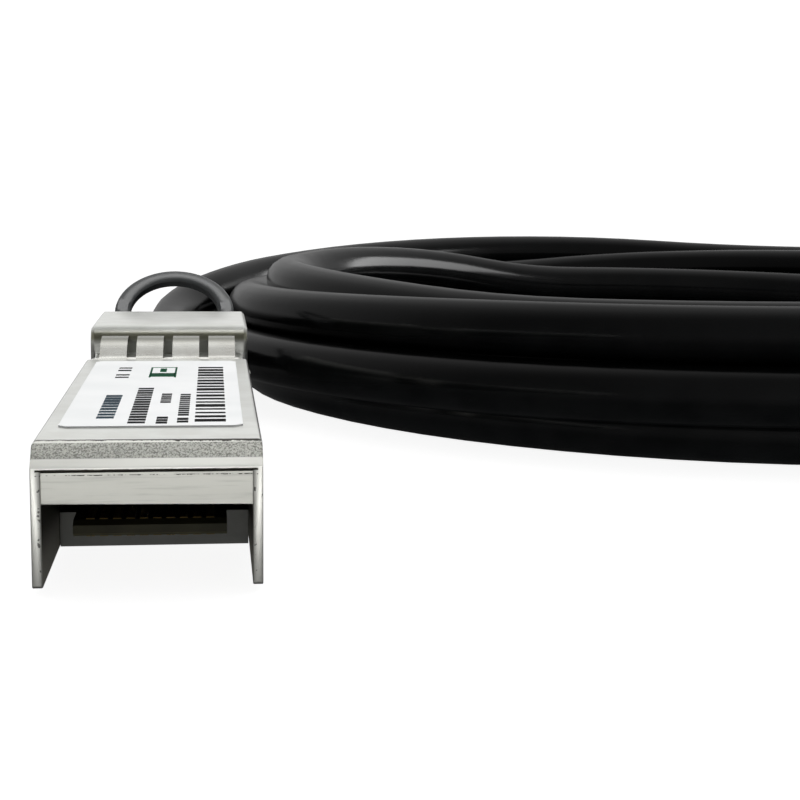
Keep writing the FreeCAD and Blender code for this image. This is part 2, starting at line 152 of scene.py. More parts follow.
def rgb(red, green, blue):
    return (red, green, blue, 1.0)


# Finishes. Lengths are metres in the part's own frame: depth from the mouth, height from the floor, and
# distance across from a plug's middle. Four numbers are a band: it rises over two and falls over two.
cloudSpan = (0.3, 0.7)  # of a noise, over which one tone turns into the other
nickelSet = {
    "roof": rgb(0.68, 0.69, 0.66),
    "roofWorn": rgb(0.61, 0.615, 0.58),
    # front wall: the nickel darkened into painted shade, with brushed streaks
    "wall": rgb(0.475, 0.475, 0.437),
    "wallStreak": rgb(0.41, 0.41, 0.38),
    # skirts' end faces: the nickel lightened into painted light
    "skirt": rgb(0.80, 0.80, 0.75),
    "speckleDark": rgb(0.22, 0.22, 0.20),
    "speckleLight": rgb(0.58, 0.585, 0.54),
    # chamfer's rounded lips: painted highlight, brighter than the plate
    "bead": rgb(0.95, 0.95, 0.90),
    # dark pits, the painted shadow and shade lines on the nose, and the roof's darker sides
    "grime": rgb(0.045, 0.042, 0.035),
    # painted shade inside the mouth, lighter near the floor
    "inside": rgb(0.06, 0.056, 0.045),
    "insideLow": rgb(0.42, 0.41, 0.36),
    # painted shade under the rear block's brow
    "paintedShade": rgb(0.17, 0.168, 0.125),
    "brush": (260.0, 2600.0, 5200.0),  # scales of the noises
    "waver": (1900.0, 200.0, 200.0),
    "grains": 9000.0,
    "blotches": 420.0,
    "spots": 2300.0,
    "streakSpan": (0.5, 0.72),
    "speckleSpan": (0.34, 0.62),
    "chamferLine": 0.00764,  # height less depth, on the chamfer
    "chamferBand": (-0.00012, -0.00006, 0.00006, 0.00012),  # distance from that line
    "chamferEnd": (0.0014, 0.0015),  # depths over which the chamfer ends
    "speckleBand": (0.00042, 0.00048, 0.00122, 0.00127),  # depths, between the lower bead and the upper lip
    "frontEnd": (0.0003, 0.0006),  # depths over which the front wall ends
    "insideHalf": 0.00615,  # half the room between the skirts
    "skirtEdge": (0.00624, 0.0064),  # distances across over which a skirt's pitted inner edge ends
    "skirtEdgeTop": 0.0064,
    "edgePits": 0.1,
    "pitSpan": (0.28, 0.32),
    "crevice": (0.00744, 0.00748, 0.00757, 0.00761),  # heights of the painted shadow line under the chamfer's bead
    "lowerLine": (0.00719, 0.00722, 0.00725, 0.00728),  # and of the broken one below it
    "lowerGaps": (0.42, 0.58),
    "lineWaver": 0.00012,
    "lineHalf": 0.0064,
    "ridge": (0.0014, 0.00146, 0.00172, 0.0018),  # depths of the painted shade line in the gap where the roof starts
    "ridgeWaver": 0.0003,
    "ridgeHalf": 0.0065,
    "ridgeSkew": -0.00012,
    "ridgeFoot": 0.0089,
    "roofEdge": (0.00654, 0.00658),  # distances across over which the roof gets darker towards its sides
    "roofFoot": 0.0088,
    "roofDepths": (0.0014, 0.0474),
    "browEnd": (0.01035, 0.0109),  # heights over which the painted shade under the block's brow ends
    "browStart": (0.0095, 0.0101),  # and over which it gets stronger
    "browFaint": 0.25,
    "browDepths": (0.0473, 0.0484),
    "browHalf": 0.0068,
    "insideDepths": (0.00022, 0.047),
    "insideHeights": (0.0006, 0.00825),
    "insideOff": -0.0003,  # from the chamfer's line
    "insideShade": (0.0008, 0.0042),  # heights over which the painted shade inside gets darker
    "trayFront": (0.01025, 0.01035),  # depths round the tray's front face, which stays plain
    "pitDark": 0.8,
    "ridgeShadeStrength": 0.95,
    "sideDark": 0.8,
    "rough": 0.30,
    "roughBrush": 0.12,
    "roughFront": 0.12,
    "roughSlope": 0.14,
    "roughBead": 0.06,
    "roughInside": 0.25,
    "brushHeight": 0.25,  # shares of the bump
    "grainHeight": 0.12,
    "speckleHeight": 1.1,
    "pitHeight": 0.8,
    "bump": 0.35,
    "bumpDepth": 0.00003,
}


def castNickel(s):
    paint = Paint("castNickel")
    at = paint.where()
    x, y, z = paint.axes(at)
    sideways = x - (x > plugPitch / 2) * plugPitch
    across = sideways.size()
    brushed = paint.noise(paint.stretched(at, s["brush"]), 1.0, detail=4.0, rough=0.6)
    waver = paint.noise(paint.stretched(at, s["waver"]), 1.0, detail=3.0, rough=0.7)
    grains = paint.noise(at, s["grains"], rough=0.7)
    blotch = paint.noise(at, s["blotches"], detail=3.0, rough=0.6)
    spots = paint.noise(at, s["spots"], rough=0.55)
    # chamfer, front wall and skirts
    slope = z - y - s["chamferLine"]
    onSlope = paint.band(slope, *s["chamferBand"]) * paint.between(y, *s["chamferEnd"], 1.0, 0.0)
    speckleZone = onSlope * paint.band(y, *s["speckleBand"])
    beadZone = onSlope - speckleZone
    onFront = paint.between(y, *s["frontEnd"], 1.0, 0.0) * (1 - onSlope)
    onSkirt = onFront * (across > s["insideHalf"])
    innerEdge = paint.between(across, *s["skirtEdge"], 1.0, 0.0) * (z < s["skirtEdgeTop"])
    pits = paint.between(spots - innerEdge * s["edgePits"], *s["pitSpan"], 1.0, 0.0) * onSkirt
    # painted shadow under the chamfer's bead and painted shade in the gap where the roof starts, as dark
    # lines uneven along their length
    lineHeight = z + waver * s["lineWaver"]
    lowerLine = paint.band(lineHeight, *s["lowerLine"]) * paint.between(waver, *s["lowerGaps"])
    shadowLines = (paint.band(lineHeight, *s["crevice"]) + lowerLine) * onFront * (across < s["lineHalf"])
    skew = paint.between(sideways, -s["ridgeHalf"], s["ridgeHalf"], s["ridgeSkew"], 0.0)
    ridge = paint.band(y + waver * s["ridgeWaver"] + skew, *s["ridge"]) * (z > s["ridgeFoot"])
    # sides of the roof, painted shade under the rear block's brow, and painted shade in the inside
    overFoot = z > s["roofFoot"]
    roofSide = paint.between(across, *s["roofEdge"]) * overFoot * paint.inRange(y, *s["roofDepths"])
    onBlock = overFoot * paint.inRange(y, *s["browDepths"]) * (across < s["browHalf"])
    browShade = onBlock * paint.between(z, *s["browEnd"], 1.0, 0.0)
    browShade = browShade * paint.between(z, *s["browStart"], s["browFaint"], 1.0)
    within = (across < s["insideHalf"]) * (slope < s["insideOff"]) * paint.inRange(y, *s["insideDepths"])
    within = within * paint.inRange(z, *s["insideHeights"]) * (1 - paint.inRange(y, *s["trayFront"]))
    # colours, from the bare plate with painted shade on the front wall, painted light on the skirts and a
    # painted highlight on the chamfer's lips, to the dark marks and painted shade over it
    satin = paint.blend(paint.between(blotch, *cloudSpan), s["roof"], s["roofWorn"])
    streaked = paint.blend(paint.between(brushed, *s["streakSpan"]), s["wall"], s["wallStreak"])
    walled = paint.blend(onFront, satin, paint.blend(onSkirt, streaked, s["skirt"]))
    speckled = paint.blend(paint.between(grains, *s["speckleSpan"]), s["speckleDark"], s["speckleLight"])
    # the chamfer's lips get the painted highlight
    nosed = paint.blend(beadZone, paint.blend(speckleZone, walled, speckled), s["bead"])
    # dark pits, the painted shadow and shade lines, and the roof's darker sides
    grime = pits * s["pitDark"] + shadowLines + ridge * s["ridgeShadeStrength"] + roofSide * s["sideDark"]
    darkened = paint.blend(grime.atMost(1.0), nosed, s["grime"])
    # painted shade under the brow
    darkened = paint.blend(browShade, darkened, s["paintedShade"])
    # painted shade inside the mouth
    paintedInsideShade = paint.blend(paint.between(z, *s["insideShade"]), s["insideLow"], s["inside"])
    rough = s["rough"] + brushed * s["roughBrush"] + onFront * s["roughFront"] + onSlope * s["roughSlope"]
    rough = rough + beadZone * s["roughBead"] + within * s["roughInside"]
    grainHeight = grains * (s["grainHeight"] + speckleZone * s["speckleHeight"])
    height = brushed * s["brushHeight"] + grainHeight - pits * s["pitHeight"]
    return paint.finish(Base_Color=paint.blend(within, darkened, paintedInsideShade), Metallic=1.0, Roughness=rough,
                        Normal=paint.bump(height, s["bump"], s["bumpDepth"]))


springSet = {
    "bright": rgb(0.84, 0.84, 0.79),
    "dull": rgb(0.76, 0.75, 0.70),
    # painted shade towards the fingers' crests, under the block's brow
    "paintedShade": rgb(0.13, 0.13, 0.10),
    "paintedShadeSpan": (0.0428, 0.0445),  # depths over which the painted shade grows, towards the fingers' crests
    "roll": (300.0, 3800.0, 3800.0),
    "blotches": 500.0,
    "rough": 0.2,
    "roughRoll": 0.12,
    "bump": 0.2,
    "bumpDepth": 0.00002,
}


def springSheet(s):
    paint = Paint("springSheet")
    at = paint.where()
    along = paint.axes(at)[1]
    rolled = paint.noise(paint.stretched(at, s["roll"]), 1.0, detail=3.0)
    blotch = paint.noise(at, s["blotches"])
    sheet = paint.blend(paint.between(blotch, *cloudSpan), s["bright"], s["dull"])
    shade = paint.blend(paint.between(along, *s["paintedShadeSpan"]), sheet, s["paintedShade"])
    return paint.finish(Base_Color=shade, Metallic=1.0, Roughness=s["rough"] + rolled * s["roughRoll"],
                        Normal=paint.bump(rolled, s["bump"], s["bumpDepth"]))


padSet = {
    "gold": rgb(0.84, 0.60, 0.21),
    "worn": rgb(0.76, 0.52, 0.17),
    "mouthShade": rgb(0.035, 0.026, 0.012),  # painted shade on the front end of each pad, inside the mouth
    "mouthShadeSpan": (0.0036, 0.0039),  # depths over which the painted shade ends
    "rub": (9000.0, 600.0, 9000.0),
    "rough": 0.22,
    "roughRub": 0.14,
    "bump": 0.2,
    "bumpDepth": 0.00002,
}


def padGold(s):
    paint = Paint("hardGold")
    at = paint.where()
    along = paint.axes(at)[1]
    rubbed = paint.noise(paint.stretched(at, s["rub"]), 1.0, detail=3.0, rough=0.6)
    plated = paint.blend(paint.between(rubbed, *cloudSpan), s["gold"], s["worn"])
    shade = paint.blend(paint.between(along, *s["mouthShadeSpan"]), s["mouthShade"], plated)
    return paint.finish(Base_Color=shade, Metallic=1.0, Roughness=s["rough"] + rubbed * s["roughRub"],
                        Normal=paint.bump(rubbed, s["bump"], s["bumpDepth"]))


jacketSet = {
    "tones": (rgb(0.0018, 0.0021, 0.0023), rgb(0.0034, 0.0038, 0.0040)),
    "swell": 260.0,
    "fine": 3200.0,
    "rough": 0.13,
    "roughSwell": 0.08,
    "roughFine": 0.03,
    "specular": 0.45,
    "swellHeight": 0.6,
    "fineHeight": 0.1,
    "bump": 0.12,
    "bumpDepth": 0.0002,
}


def jacketBlack(s):
    paint = Paint("jacketBlack")
    at = paint.where()
    swell = paint.noise(at, s["swell"], detail=3.0)
    fine = paint.noise(at, s["fine"])
    height = swell * s["swellHeight"] + fine * s["fineHeight"]
    return paint.finish(Base_Color=paint.blend(paint.between(swell, *cloudSpan), *s["tones"]),
                        Roughness=s["rough"] + swell * s["roughSwell"] + fine * s["roughFine"],
                        Specular_IOR_Level=s["specular"],
                        Normal=paint.bump(height, s["bump"], s["bumpDepth"]))


rubberSet = {
    "tones": (rgb(0.010, 0.010, 0.011), rgb(0.02, 0.02, 0.021)),
    "crease": (900.0, 220.0, 900.0),
    "rough": 0.5,
    "roughCrease": 0.15,
    "specular": 0.25,
    "bump": 0.3,
    "bumpDepth": 0.0001,
}


def sleeveBlack(s):
    paint = Paint("sleeveBlack")
    creases = paint.noise(paint.stretched(paint.where(), s["crease"]), 1.0, detail=3.0)
    return paint.finish(Base_Color=paint.blend(paint.between(creases, *cloudSpan), *s["tones"]),
                        Roughness=s["rough"] + creases * s["roughCrease"], Specular_IOR_Level=s["specular"],
                        Normal=paint.bump(creases, s["bump"], s["bumpDepth"]))


# Finishes of one kind: two tones in soft clouds, with a fine grain in the roughness and the bump
metalBase = {
    "metal": 1.0, "specular": 0.5, "cloud": 700.0, "detail": 3.0, "grit": 0.6,
    "roughGain": 0.14, "bump": 0.25, "bumpDepth": 0.00002,
}
plasticBase = {
    "metal": 0.0, "specular": 0.5, "cloud": 600.0, "detail": 3.0, "grit": 0.6,
    "roughGain": 0.15, "bump": 0.2, "bumpDepth": 0.00002,
}
cloudedSets = {
    "label": {
        **plasticBase, "name": "labelFilm", "tones": (rgb(0.86, 0.875, 0.875), rgb(0.92, 0.93, 0.93)),
        "cloud": 180.0, "grain": (2600.0, 2600.0, 2600.0), "detail": 4.0, "grit": 0.7,
        "rough": 0.42, "roughGain": 0.12, "specular": 0.3, "bump": 0.1,
    },
    "pull_tab": {
        **plasticBase, "name": "tabBlack", "tones": (rgb(0.038, 0.041, 0.042), rgb(0.052, 0.055, 0.056)),
        "cloud": 300.0, "grain": (5200.0, 5200.0, 5200.0), "detail": 2.0, "grit": 0.5,
        "rough": 0.30, "roughGain": 0.14, "bump": 0.25, "bumpDepth": 0.00003,
    },
    "circuit_card": {
        **plasticBase, "name": "cardMask", "tones": (rgb(0.026, 0.024, 0.010), rgb(0.018, 0.017, 0.008)),
        "rough": 0.5, "grain": (4200.0, 4200.0, 4200.0),
    },
    "memory_chip": {
        **plasticBase, "name": "chipEpoxy", "tones": (rgb(0.018, 0.018, 0.02), rgb(0.012, 0.012, 0.013)),
        "rough": 0.5, "grain": (6000.0, 6000.0, 6000.0),
    },
    "conductor_pairs": {
        **plasticBase, "name": "coreInsulation", "tones": (rgb(0.80, 0.80, 0.78), rgb(0.70, 0.71, 0.70)),
        "rough": 0.3, "grain": (1800.0, 1800.0, 1800.0),
    },
    "crimp_ferrule": {
        **metalBase, "name": "ferruleBrass", "tones": (rgb(0.70, 0.56, 0.30), rgb(0.60, 0.46, 0.22)),
        "rough": 0.28, "grain": (2400.0, 500.0, 2400.0),
    },
    "release_slider": {
        **metalBase, "name": "sliderSteel", "tones": (rgb(0.62, 0.62, 0.61), rgb(0.52, 0.52, 0.51)),
        "rough": 0.26, "grain": (4200.0, 320.0, 4200.0),
    },
    "return_spring": {
        **metalBase, "name": "springWire", "tones": (rgb(0.58, 0.58, 0.57), rgb(0.46, 0.46, 0.46)),
        "rough": 0.22, "grain": (2600.0, 2600.0, 2600.0),
    },
    "stop_pin": {
        **metalBase, "name": "pinSteel", "tones": (rgb(0.56, 0.56, 0.56), rgb(0.47, 0.47, 0.47)),
        "rough": 0.24, "grain": (3000.0, 3000.0, 900.0),
    },
    "shell_screws": {
        **metalBase, "name": "screwSteel", "tones": (rgb(0.50, 0.49, 0.47), rgb(0.40, 0.39, 0.38)),
        "rough": 0.26, "grain": (2000.0, 2000.0, 2000.0),
    },
}


def cloudedFinish(s):
    paint = Paint(s["name"])
    at = paint.where()
    grain = paint.noise(paint.stretched(at, s["grain"]), 1.0, s["detail"], s["grit"])
    cloud = paint.noise(at, s["cloud"])
    return paint.finish(Base_Color=paint.blend(paint.between(cloud, *cloudSpan), *s["tones"]),
                        Metallic=s["metal"], Roughness=s["rough"] + grain * s["roughGain"],
                        Specular_IOR_Level=s["specular"],
                        Normal=paint.bump(grain, s["bump"], s["bumpDepth"]))


finishOf = {kind: cloudedFinish(s) for kind, s in cloudedSets.items()}
finishOf["top_shell"] = finishOf["bottom_shell"] = castNickel(nickelSet)
finishOf["spring_collar"] = springSheet(springSet)
finishOf["contact_pads"] = padGold(padSet)
finishOf["cable_end"] = jacketBlack(jacketSet)
finishOf["strain_relief"] = sleeveBlack(rubberSet)
for name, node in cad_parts.items():
    kind = name.split("_", 1)[1]
    if kind in finishOf:
        node.data.materials.clear()
        node.data.materials.append(finishOf[kind])
print("finishes", len(finishOf))


# Camera, solved from the plug's edges in the photograph
cameraSet = {
    "place": (0.00386, -0.08855, 0.02465),
    "yaw": 6.98,  # degrees to the right of +Y
    "pitch": 8.4,  # degrees down
    "roll": 0.66,
    "lens": 69.14,
    "sensor": 36.0,
    "nearest": 0.005,
}


def makeCamera(s):
    yaw, pitch, roll = (math.radians(s[key]) for key in ("yaw", "pitch", "roll"))
    right = Vector((math.cos(yaw), -math.sin(yaw), 0.0))
    ahead = Vector((math.sin(yaw) * math.cos(pitch), math.cos(yaw) * math.cos(pitch), -math.sin(pitch)))
    above = right.cross(ahead)
    across = right * math.cos(roll) + above * math.sin(roll)
    upward = above * math.cos(roll) - right * math.sin(roll)
    turn = Matrix((across, upward, -ahead)).transposed()
    data = bpy.data.cameras.new("photoCamera")
    data.lens = s["lens"]
    data.sensor_width = s["sensor"]
    data.clip_start = s["nearest"]
    camera = bpy.data.objects.new("photoCamera", data)
    camera.matrix_world = Matrix.Translation(s["place"]) @ turn.to_4x4()
    scene.collection.objects.link(camera)
    scene.camera = camera
    print("camera", tuple(round(v, 4) for v in camera.location), "lens", s["lens"])


makeCamera(cameraSet)


def place(name, data):
    piece = bpy.data.objects.new(name, data)
    scene.collection.objects.link(piece)
    return piece


# Cable, from the near plug up onto the coil, round its turns and out to the far plug
cableSet = {
    "diameter": 0.0052,  # metres, as is the length
    "length": 2.88,
    "centre": (65.1, 93.6),  # of the coil, in mm as are the lengths below and the routes
    "turns": 8,
    "pointsPerTurn": 18,
    "startAngle": 150.6,  # plan angles where the near lead ends and the far lead begins
    "endAngle": 29.6,
    # turn, plan angle, radius and height of places that a turn passes: read from the photograph where it
    # shows them, chosen elsewhere
    "marks": [
        (0, 120, 58.2, 11.9), (0, 80, 58.0, 11.0), (0, 60, 58.0, 11.4),
        (0, -60, 59.5, 11.8), (0, -120, 59.0, 11.0), (0, -180, 56.7, 8.8),
        (1, 120, 52.6, 8.2), (1, 60, 52.0, 10.6), (1, -120, 53.5, 10.3), (1, -180, 52.7, 11.7),
        (2, 120, 42.4, 8.0), (2, 60, 43.2, 8.0), (2, -120, 47.0, 7.5),
        (3, 120, 40.2, 3.2), (3, -120, 43.3, 2.6),
        (4, -120, 48.5, 2.6),
        (5, -120, 53.1, 5.1),
        (6, 120, 47.4, 7.2), (6, 60, 48.6, 7.2),
        (6, -60, 60.0, 6.8), (6, -120, 61.5, 6.4), (6, -180, 60.7, 5.3),
        (7, 120, 58.2, 6.7), (7, 60, 55.2, 6.7), (7, -60, 57.1, 2.6), (7, -120, 57.7, 2.7),
        (8, 60, 57.9, 2.6),
    ],
    "floorHeight": 2.6,  # of a turn's middle
    "roofHeight": 12.75,
    "reach": 61.5,  # largest radius of a turn's middle
    "clearance": 5.15,  # from middle to middle
    "rounds": 400,
    "pushes": 4,  # in each round
    "stiffness": 0.5,
    "grip": 0.5,  # of the marks
    "leadPoints": 2,  # of each lead that the turns are pushed off
    "order": 3,  # of the spline
    "steps": 4,  # between two of its points
    "roundness": 7,
}
nearRoute = [(0.0, 76.0, 5.6), (-0.1, 84.0, 5.6), (-1.4, 94.0, 6.2), (-0.4, 104.5, 7.7), (4.6, 113.5, 9.4)]
farRoute = [(123.4, 112.8, 2.6), (127.6, 98.0, 3.9), (128.7, 86.5, 5.6), (128.7, 76.0, 5.6)]


def settledTurns(s):
    # points at even angles, eased along the cable and pushed off their neighbours round after round
    x, y = s["centre"]
    perTurn = s["pointsPerTurn"]
    ends = s["leadPoints"]
    whole = 360 * s["turns"] + s["startAngle"] - s["endAngle"]
    count = round(whole / 360 * perTurn)
    marks = [(s["startAngle"] - angle + 360 * turn, radius, height)
             for turn, angle, radius, height in s["marks"]]
    known = list(marks)
    for leadX, leadY, height in nearRoute + farRoute:
        angle = math.degrees(math.atan2(leadY - y, leadX - x))
        turned = s["startAngle"] - angle % 360 if leadX < x else whole + s["endAngle"] - angle
        known.append((turned, math.hypot(leadX - x, leadY - y), height))
    known = np.array(sorted(known))
    turned = np.arange(-ends, count + ends + 1) * whole / count
    points = np.stack([np.interp(turned, known[:, 0], known[:, column]) for column in (1, 2)], axis=1)
    leads = np.r_[0:ends, len(points) - ends:len(points)]
    held = points[leads]
    spots = [round(at / whole * count) + ends for at, radius, height in marks]
    wanted = np.array(marks)[:, 1:]
    for _ in range(s["rounds"]):
        points[1:-1] += s["stiffness"] * ((points[:-2] + points[2:]) / 2 - points[1:-1])
        points[spots] += s["grip"] * (wanted - points[spots])
        for _ in range(s["pushes"]):
            for lap in range(perTurn, len(points), perTurn):
                gap = points[lap:] - points[:-lap]
                apart = np.hypot(gap[:, :1], gap[:, 1:])
                push = np.maximum(0.0, s["clearance"] - apart) / 2 * gap / apart
                points[:-lap] -= push
                points[lap:] += push
            points[:, 0] = np.minimum(points[:, 0], s["reach"])
            points[:, 1] = np.clip(points[:, 1], s["floorHeight"], s["roofHeight"])
            points[leads] = held
    inward = (3 + math.cos(2 * math.pi / perTurn)) / 4  # a quadratic spline runs inside its points
    turns = []
    for at, (radius, height) in list(zip(turned, points))[ends:-ends]:
        angle = math.radians(s["startAngle"] - at)
        turns.append((x + radius / inward * math.cos(angle), y + radius / inward * math.sin(angle), height))
    return turns


def makeCable(s):
    points = [tuple(v * mm for v in point) for point in nearRoute + settledTurns(s) + farRoute]
    data = bpy.data.curves.new("cable", "CURVE")
    data.dimensions = "3D"
    spline = data.splines.new("NURBS")
    spline.points.add(len(points) - 1)
    for point, at in zip(spline.points, points):
        point.co = (*at, 1.0)
    spline.order_u = s["order"]
    spline.use_endpoint_u = True
    spline.resolution_u = s["steps"]
    data.bevel_depth = s["diameter"] / 2
    data.bevel_resolution = s["roundness"]
    data.use_fill_caps = True
    data.materials.append(finishOf["cable_end"])
    cable = place("cable", data)
    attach(cable, "root")
    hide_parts("near_lead", "far_lead", "cable_coil")
    print("cable", len(points), "points")
    return cable


cable = makeCable(cableSet)


# Geometry Nodes: a tree with named inputs, and a plain mesh made from it
def newTree(name, inputs):
    tree = bpy.data.node_groups.new(name, "GeometryNodeTree")
    tree.interface.new_socket("Geometry", in_out="OUTPUT", socket_type="NodeSocketGeometry")
    for label, kind in inputs.items():
        tree.interface.new_socket(label, in_out="INPUT", socket_type="NodeSocket" + kind)
    graph = Graph(tree)
    entry = tree.nodes.new("NodeGroupInput")
    return graph, {label: Wire(graph, entry.outputs[label]) for label in inputs}


def closeTree(graph, shape, finish):
    whole = graph.node("GeometryNodeRealizeInstances", None, {0: shape})
    painted = graph.node("GeometryNodeSetMaterial", None, {"Geometry": whole, "Material": finish})
    graph.tree.links.new(painted.socket, graph.tree.nodes.new("NodeGroupOutput").inputs[0])
    return graph.tree


def grown(tree, values):
    piece = place(tree.name + "Seed", bpy.data.meshes.new(tree.name))
    modifier = piece.modifiers.new(tree.name, "NODES")
    modifier.node_group = tree
    for item in tree.interface.items_tree:
        if item.in_out == "INPUT":
            modifier[item.identifier] = values[item.name]
    made = bpy.data.meshes.new_from_object(piece.evaluated_get(bpy.context.evaluated_depsgraph_get()))
    bpy.data.objects.remove(piece)
    return made


# Print on the labels: plain blocks, stripes and a green frame
printSet = {
    # in mm: across low and high, along first and last, step along; then the least and most filled share of a
    # step, the ink and the seed
    "rows": [
        (-3.55, -2.45, 8.6, 19.2, 1.18, 0.58, 0.82, "slate", 1),
        (-1.50, -0.42, 6.6, 22.8, 1.08, 0.55, 0.78, "black", 2),
        (0.25, 0.95, 6.5, 9.4, 0.97, 0.50, 0.75, "black", 3),
        (0.25, 0.95, 15.2, 19.8, 0.92, 0.50, 0.75, "black", 4),
        (1.55, 2.25, 6.8, 8.9, 1.05, 0.50, 0.75, "black", 5),
        (1.55, 2.25, 9.6, 19.6, 0.91, 0.50, 0.75, "black", 6),
        (2.65, 4.60, 7.0, 34.9, 1.55, 0.30, 0.74, "black", 7),
        (-3.55, -2.55, 27.8, 30.6, 1.4, 0.35, 0.5, "black", 8),
        (-3.55, -2.55, 31.8, 34.8, 1.5, 0.35, 0.5, "black", 9),
        (-0.95, 0.90, 28.8, 30.8, 2.0, 1.0, 1.0, "green", 10),
        (-1.05, -0.90, 28.4, 34.4, 6.0, 1.0, 1.0, "green", 11),
        (0.85, 1.00, 28.4, 34.4, 6.0, 1.0, 1.0, "green", 12),
        (-1.05, 1.00, 34.2, 34.4, 0.2, 1.0, 1.0, "green", 13),
        (-0.30, 0.20, 31.6, 33.6, 2.0, 1.0, 1.0, "green", 14),
    ],
    "height": 0.00911,  # middle of the ink on the label's face
    "thickness": 0.00003,
    "inks": {
        "black": rgb(0.012, 0.012, 0.013),
        "slate": rgb(0.10, 0.16, 0.21),
        "green": rgb(0.02, 0.22, 0.10),
    },
    "dots": 9000.0,
    "dotSpan": (0.35, 0.75),
    "faded": 2.2,  # times the ink's own tone
    "rough": 0.5,
    "roughDots": 0.2,
    "specular": 0.1,
}


def inkFilm(name, tone, s):
    paint = Paint(name)
    dots = paint.noise(paint.where(), s["dots"])
    faded = rgb(*(v * s["faded"] for v in tone[:3]))
    return paint.finish(Base_Color=paint.blend(paint.between(dots, *s["dotSpan"]), tone, faded),
                        Roughness=s["rough"] + dots * s["roughDots"], Specular_IOR_Level=s["specular"])


def printTree(finish):
    graph, size = newTree("printRow" + finish.name, {
        "Count": "Int", "Step": "Float", "Across": "Float", "Least": "Float", "Most": "Float",
        "Thick": "Float", "Seed": "Int"})
    along = graph.node("ShaderNodeCombineXYZ", None, {1: size["Step"]})
    line = graph.node("GeometryNodeMeshLine", None, {"Count": size["Count"], "Offset": along})
    # sockets 2 and 3 and output 1 of the random node are its plain numbers
    share = graph.node("FunctionNodeRandomValue", {"data_type": "FLOAT"},
                       {2: size["Least"], 3: size["Most"], "Seed": size["Seed"]}, out=1)
    scale = graph.node("ShaderNodeCombineXYZ", None,
                       {0: size["Across"], 1: share * size["Step"], 2: size["Thick"]})
    block = graph.node("GeometryNodeMeshCube", None, {"Size": (1.0, 1.0, 1.0)})
    blocks = graph.node("GeometryNodeInstanceOnPoints", None,
                        {"Points": line, "Instance": block, "Scale": scale})
    return closeTree(graph, blocks, finish)


def makePrint(end, s, trees):
    whole = bmesh.new()
    for low, high, first, last, step, least, most, ink, seed in s["rows"]:
        count = max(1, round((last - first) / step))
        row = grown(trees[ink][1], {"Count": count, "Step": step * mm, "Across": (high - low) * mm,
                                    "Least": least, "Most": most, "Thick": s["thickness"], "Seed": seed})
        start = Vector(((low + high) / 2 * mm, (first + step / 2) * mm, s["height"]))
        row.transform(Matrix.Translation(plugShift[end] + start))
        for face in row.polygons:
            face.material_index = list(s["inks"]).index(ink)
        whole.from_mesh(row)
        bpy.data.meshes.remove(row)
    mesh = bpy.data.meshes.new(end + "LabelPrint")
    whole.to_mesh(mesh)
    whole.free()
    for ink in s["inks"]:
        mesh.materials.append(trees[ink][0])
    piece = place(end + "LabelPrint", mesh)
    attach(piece, "root")
    print("label print", end, len(mesh.polygons), "faces")


inkTrees = {}
for ink, tone in printSet["inks"].items():
    film = inkFilm(ink + "Ink", tone, printSet)
    inkTrees[ink] = (film, printTree(film))
for end in plugShift:
    makePrint(end, printSet, inkTrees)


# Strain relief: a tapered sleeve with soft ribs round it
sleeveSet = {
    "Start": 0.0602,
    "End": 0.0764,
    "Height": 0.0056,
    "Root": 0.00335,
    "Tip": 0.00295,
    "Rib": 0.00017,
    "Ribs": 6.0,
    "Neck": 0.0031,  # radius inside the block
    "NeckShare": 0.135,  # of the length
    "BluntFrom": 0.97,  # share of the length where the tip gets thinner
    "Blunt": 0.0003,
    "Lengths": 120,
    "Sides": 40,
    "creaseAngle": 50,  # degrees, past which the shading stays sharp
}


def sleeveTree(finish):
    graph, size = newTree("ribbedSleeve", {
        "Start": "Float", "End": "Float", "Height": "Float", "Root": "Float", "Tip": "Float", "Rib": "Float",
        "Ribs": "Float", "Neck": "Float", "NeckShare": "Float", "BluntFrom": "Float", "Blunt": "Float",
        "Lengths": "Int", "Sides": "Int"})
    first = graph.node("ShaderNodeCombineXYZ", None, {1: size["Start"], 2: size["Height"]})
    last = graph.node("ShaderNodeCombineXYZ", None, {1: size["End"], 2: size["Height"]})
    line = graph.node("GeometryNodeCurvePrimitiveLine", None, {"Start": first, "End": last})
    line = graph.node("GeometryNodeResampleCurve", None, {"Curve": line, "Count": size["Lengths"]})
    share = graph.node("GeometryNodeSplineParameter")
    ribs = (share * size["Ribs"] * (2 * math.pi)).wave() * size["Rib"]
    blunt = graph.between(share, size["BluntFrom"], 1.0, 0.0, size["Blunt"])
    body = size["Root"] + share * (size["Tip"] - size["Root"]) + ribs - blunt
    outside = share > size["NeckShare"]
    radius = size["Neck"] + outside * (body - size["Neck"])
    line = graph.node("GeometryNodeSetCurveRadius", None, {"Curve": line, "Radius": radius})
    ring = graph.node("GeometryNodeCurvePrimitiveCircle", None, {"Resolution": size["Sides"], "Radius": 1.0})
    sleeve = graph.node("GeometryNodeCurveToMesh", None,
                        {"Curve": line, "Profile Curve": ring, "Scale": radius, "Fill Caps": True})
    return closeTree(graph, sleeve, finish)


ribbedSleeve = sleeveTree(finishOf["strain_relief"])
for end in plugShift:
    mesh = grown(ribbedSleeve, sleeveSet)
    mesh.transform(Matrix.Translation(plugShift[end]))
    mesh.polygons.foreach_set("use_smooth", [True] * len(mesh.polygons))
    mesh.set_sharp_from_angle(angle=math.radians(sleeveSet["creaseAngle"]))
    sleeve = place(end + "Sleeve", mesh)
    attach(sleeve, "root")
    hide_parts(end + "_strain_relief")
    print("sleeve", end, len(mesh.polygons), "faces")


